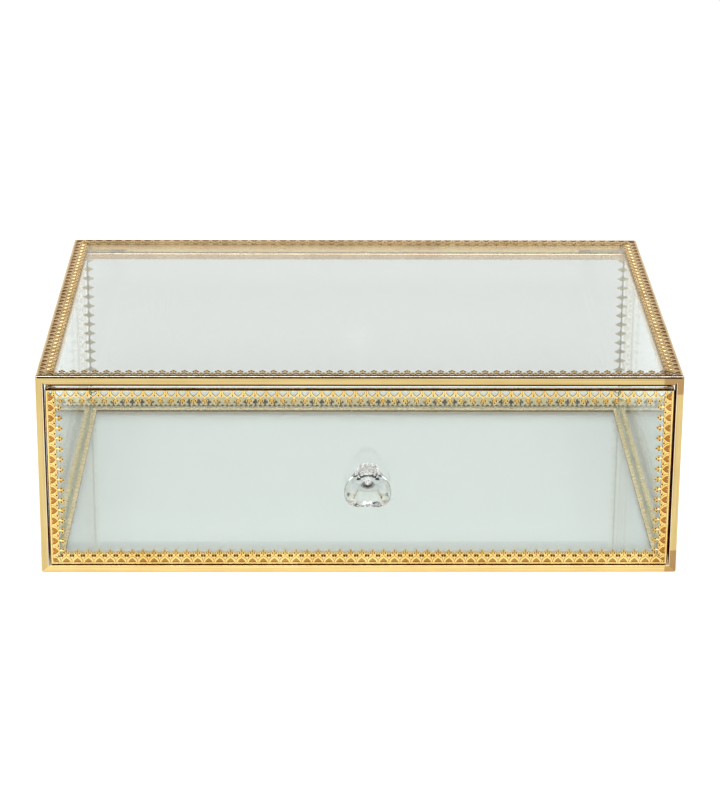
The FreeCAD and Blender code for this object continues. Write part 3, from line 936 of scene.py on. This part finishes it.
def rounded_triangle(angles, share):
    """Points of a triangle with round corners, point up, where its outline faces each angle.

    Of the three corner circles, the one furthest out along the angle carries
    the point.
    """
    radius, half_base, drop, rise = 6.0, 4.5, -3.8, 3.8
    centres = np.array([[half_base, drop], [-half_base, drop], [0.0, rise]])
    facing = np.stack([np.cos(angles), np.sin(angles)], axis=1)
    chosen = np.argmax(facing @ centres.T, axis=1)
    return share * (centres[chosen] + radius * facing)


def cut_crystal():
    """Loops of facets from the neck out to the girdle and in to the table.

    Each loop has its share of the full outline, its distance from the pane
    and its turn in steps.
    """
    count = 18
    step = 2 * np.pi / count
    turns = np.pi / 6 + step * np.arange(count)
    cuts = [
        (0.48, 0.02, 0.0), (0.84, 3.4, 0.5), (1.0, 6.2, 0.0),
        (1.0, 10.2, 0.0), (0.86, 13.6, 0.5), (0.60, 16.98, 0.0),
    ]
    loops = []
    for share, out, shift in cuts:
        flat = rounded_triangle(turns + shift * step, share) + axis
        loops.append(np.column_stack([flat[:, 0], np.full(count, pane_face - out), flat[:, 1]]))
    j = np.arange(count)
    on = (j + 1) % count
    faces = []
    for n, (cut, following) in enumerate(zip(cuts, cuts[1:])):
        a, b = n * count, (n + 1) * count
        if following[2] > cut[2]:
            faces.append(np.concatenate([
                np.stack([a + j, a + on, b + j], axis=1),
                np.stack([b + j, a + on, b + on], axis=1),
            ]))
        elif following[2] < cut[2]:
            faces.append(np.concatenate([
                np.stack([a + j, b + on, b + j], axis=1),
                np.stack([a + j, a + on, b + on], axis=1),
            ]))
        else:
            faces.append(np.stack([a + j, a + on, b + on, b + j], axis=1))
    last = (len(cuts) - 1) * count
    faces.append(np.stack([j[::-1], j + last]))
    return np.concatenate(loops) * MM, faces


points, faces = cut_crystal()
knob = finished_mesh("knob_crystal", points, faces, [crystal])
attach(knob, "drawer")
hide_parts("knob")


# The knob's screw: a steel machine screw with a slotted round head, turned in
# one piece, and a flat washer between the head and the back of the pane.
def turned(name, profile, finish):
    """A turned part: a profile of (radius, depth behind the pane's face) spun round the knob's axis."""
    count = 28
    profile = np.array(profile)
    t = np.arange(count) * 2 * np.pi / count
    spun = np.stack([
        axis[0] + profile[:, :1] * np.cos(t), np.repeat(pane_face + profile[:, 1:], count, axis=1),
        axis[1] + profile[:, :1] * np.sin(t),
    ], axis=2).reshape(-1, 3)
    j = np.arange(count)
    on = (j + 1) % count
    rows = np.arange(len(profile) - 1)[:, None] * count
    bands = np.stack([rows + j, rows + j + count, rows + on + count, rows + on], axis=2).reshape(-1, 4)
    last = (len(profile) - 1) * count
    made = finished_mesh(name, spun * MM, [bands, np.stack([j, (j + last)[::-1]])], [finish])
    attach(made, "drawer")
    return made


steel = brass("steel", (0.88, 0.88, 0.85), (0.74, 0.73, 0.70), 0.2, 0.6)
painted_slot_shade = brass("painted_slot_shade", (0.06, 0.06, 0.06), (0.03, 0.03, 0.03), 0.3)
screw = turned("screw_with_head", [
    (0.5, -1.7), (0.75, -1.5), (0.75, 0.0), (1.4, 0.05), (1.4, 2.5),
    (3.1, 2.52), (3.1, 3.6), (2.7, 4.05), (1.6, 4.25), (0.4, 4.28),
], steel)
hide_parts("knob_screw")
turned("washer", [(1.5, 2.53), (3.9, 2.53), (4.0, 2.6), (4.0, 2.9), (3.9, 2.98), (1.5, 2.98)], steel)
# The slot is a near-black box laid in the head, painted shade standing for the cut.
slot_depth = 4.22
half_slot = np.array([2.5, 0.10, 0.45])
corner_signs = np.array([[x, y, z] for x in (-1, 1) for y in (-1, 1) for z in (-1, 1)], dtype=float)
slot_centre = np.array([axis[0], pane_face + slot_depth, axis[1]])
slot_faces = np.array([[0, 1, 3, 2], [4, 6, 7, 5], [0, 4, 5, 1], [2, 3, 7, 6], [0, 2, 6, 4], [1, 5, 7, 3]])
slot_points = (slot_centre + corner_signs * half_slot) * MM
slot = finished_mesh("screw_slot", slot_points, [slot_faces], [painted_slot_shade])
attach(slot, "drawer")
